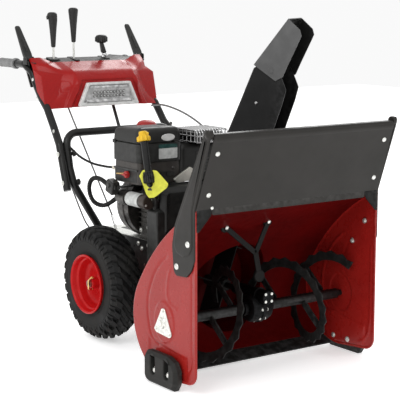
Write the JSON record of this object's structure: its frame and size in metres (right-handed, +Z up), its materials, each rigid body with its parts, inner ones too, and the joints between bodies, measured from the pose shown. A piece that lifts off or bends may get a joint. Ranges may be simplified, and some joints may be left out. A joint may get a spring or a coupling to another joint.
{
  "type": "snow blower",
  "caption": "Walk-behind two-stage snow blower with a wide auger housing, a swivelling chute, a petrol engine and driven wheels.",
  "frame": {"origin": "on the ground under the middle of the whole machine, wheels and skid shoes at Z = 0", "axes": "+Z up; the auger housing opens towards -Y and the operator stands at +Y; +X is the operator's left"},
  "size_m": [0.784, 1.5492, 1.143],
  "materials": {
    "red_paint": "gloss enamel",
    "black_paint": "satin powder coat",
    "black_plastic": "moulded, satin",
    "red_plastic": "gloss moulded",
    "yellow_plastic": "moulded",
    "grey_plastic": "moulded",
    "silver_plastic": "metallic moulded",
    "zinc": "zinc plated",
    "steel": "bare steel",
    "cast_aluminium": "die cast",
    "cast_iron": "painted casting",
    "bronze": "bronze",
    "chrome_wire": "chrome plated wire",
    "rubber": "rubber",
    "tyre_rubber": "tread rubber"
  },
  "bodies": {
    "chassis": {"auger_housing": "red_paint", "side_plate_right": "red_paint", "side_plate_left": "red_paint", "impeller_drum": "red_paint", "scraper_bar": "black_paint", "bearing_plates": "zinc", "housing_bolts": "zinc", "side_arms": "black_paint", "front_panel": "black_paint", "gear_case_brace": "black_paint", "auger_gear_case": "cast_iron", "drive_belts": "rubber", "drive_chain": "steel", "tractor_frame": "black_paint", "belt_cover": "black_plastic", "engine_block": "cast_aluminium", "engine_shroud": "black_plastic", "heater_box": "black_plastic", "blower_housing": "silver_plastic", "fuel_tank": "black_paint", "dipstick_tube": "black_plastic", "starter_motor": "cast_aluminium", "switch_box": "black_plastic", "engine_leads": "rubber", "muffler": "steel", "muffler_guard": "chrome_wire", "lower_handle": "black_paint", "upper_handles": "black_paint", "handle_bolts": "zinc", "control_rod": "black_paint", "dash_console": "red_plastic", "work_light": "silver_plastic", "hand_grips": "grey_plastic", "clutch_cables": "steel", "chute_cable": "rubber"},
    "auger": {"auger_shaft": "black_paint", "auger_flights": "black_paint", "worm_wheel": "bronze"},
    "impeller_line": {"impeller": "black_paint", "impeller_shaft": "steel", "auger_pulley": "steel"},
    "engine_crank": {"crankshaft": "steel"},
    "drive_disc": {"friction_plate": "steel"},
    "drive_countershaft": {"friction_wheel": "steel"},
    "wheels": {"axle": "steel", "wheel_rims": "red_paint", "tyres": "tyre_rubber"},
    "skid_right": {"skid_shoe_right": "black_plastic"},
    "skid_left": {"skid_shoe_left": "black_plastic"},
    "chute_body": {"chute": "black_plastic"},
    "chute_cap": {"deflector": "black_plastic"},
    "recoil_pull": {"recoil_handle": "black_plastic"},
    "tank_cap": {"fuel_cap": "red_plastic"},
    "oil_dipstick": {"dipstick_cap": "yellow_plastic"},
    "choke": {"choke_knob": "red_plastic"},
    "lever_right": {"clutch_lever_right": "black_plastic"},
    "lever_left": {"clutch_lever_left": "black_plastic"},
    "speed_lever": {"speed_stick": "black_plastic"},
    "chute_lever": {"chute_stick": "black_plastic"},
    "knob_control": {"knob_lever": "black_plastic"}
  },
  "joints": [
    {"name": "auger_spin", "type": "hinge", "parent": "chassis", "child": "auger", "pos_m": [0, -0.52044, 0.195], "axis": [1, 0, 0], "continuous": true},
    {"name": "impeller_spin", "type": "hinge", "parent": "chassis", "child": "impeller_line", "pos_m": [0, -0.33544, 0.237], "axis": [0, 1, 0], "continuous": true},
    {"name": "crank_spin", "type": "hinge", "parent": "chassis", "child": "engine_crank", "pos_m": [-0.045, -0.18544, 0.465], "axis": [0, 1, 0], "continuous": true},
    {"name": "drive_disc_spin", "type": "hinge", "parent": "chassis", "child": "drive_disc", "pos_m": [-0.008, -0.13544, 0.262], "axis": [0, 1, 0], "continuous": true},
    {"name": "countershaft_spin", "type": "hinge", "parent": "chassis", "child": "drive_countershaft", "pos_m": [0, -0.02544, 0.262], "axis": [1, 0, 0], "continuous": true},
    {"name": "wheel_spin", "type": "hinge", "parent": "chassis", "child": "wheels", "pos_m": [0, 0.06456, 0.2], "axis": [1, 0, 0], "continuous": true},
    {"name": "skid_right_height", "type": "slide", "parent": "chassis", "child": "skid_right", "axis": [0, 0, -1], "range_m": [0, 0.038]},
    {"name": "skid_left_height", "type": "slide", "parent": "chassis", "child": "skid_left", "axis": [0, 0, -1], "range_m": [0, 0.038]},
    {"name": "chute_turn", "type": "hinge", "parent": "chassis", "child": "chute_body", "pos_m": [0, -0.31544, 0.425], "axis": [0, 0, 1], "range_deg": [-125, 55]},
    {"name": "deflector_tilt", "type": "hinge", "parent": "chute_body", "child": "chute_cap", "pos_m": [0.11471, -0.47927, 0.955], "axis": [0.8192, 0.5736, 0], "range_deg": [0, 50]},
    {"name": "recoil_handle_pull", "type": "slide", "parent": "chassis", "child": "recoil_pull", "axis": [0.4004, 0.8508, 0.3403], "range_m": [0, 0.5], "stiffness_N_per_m": 12, "springref_m": -0.3},
    {"name": "fuel_cap_turn", "type": "hinge", "parent": "chassis", "child": "tank_cap", "pos_m": [-0.033, 0.07456, 0.722], "axis": [0, 0, 1], "range_deg": [0, 120]},
    {"name": "dipstick_lift", "type": "slide", "parent": "chassis", "child": "oil_dipstick", "axis": [0.0102, 0.2419, 0.9703], "range_m": [0, 0.12]},
    {"name": "choke_turn", "type": "hinge", "parent": "chassis", "child": "choke", "pos_m": [-0.198, -0.06544, 0.592], "axis": [-1, 0, 0], "range_deg": [0, 90]},
    {"name": "clutch_lever_right_squeeze", "type": "hinge", "parent": "chassis", "child": "lever_right", "pos_m": [-0.241, 0.55256, 0.956], "axis": [-1, 0, 0], "range_deg": [0, 45], "stiffness_Nm_per_rad": 0.5, "springref_deg": -34.38},
    {"name": "clutch_lever_left_squeeze", "type": "hinge", "parent": "chassis", "child": "lever_left", "pos_m": [0.241, 0.55256, 0.956], "axis": [-1, 0, 0], "range_deg": [0, 45], "stiffness_Nm_per_rad": 0.5, "springref_deg": -34.38},
    {"name": "speed_stick_swing", "type": "hinge", "parent": "chassis", "child": "speed_lever", "pos_m": [-0.054, 0.54456, 0.905], "axis": [1, 0, 0], "range_deg": [-14, 14]},
    {"name": "chute_stick_swing", "type": "hinge", "parent": "chassis", "child": "chute_lever", "pos_m": [-0.141, 0.54456, 0.905], "axis": [0, 1, 0], "range_deg": [-9, 9]},
    {"name": "knob_lever_swing", "type": "hinge", "parent": "chassis", "child": "knob_control", "pos_m": [0.085, 0.56056, 0.91], "axis": [1, 0, 0], "range_deg": [-16, 16]}
  ],
  "couplings": [
    {"joint": "impeller_spin", "follows": "auger_spin", "ratio": 10},
    {"joint": "countershaft_spin", "follows": "wheel_spin", "ratio": 3.1111}
  ]
}
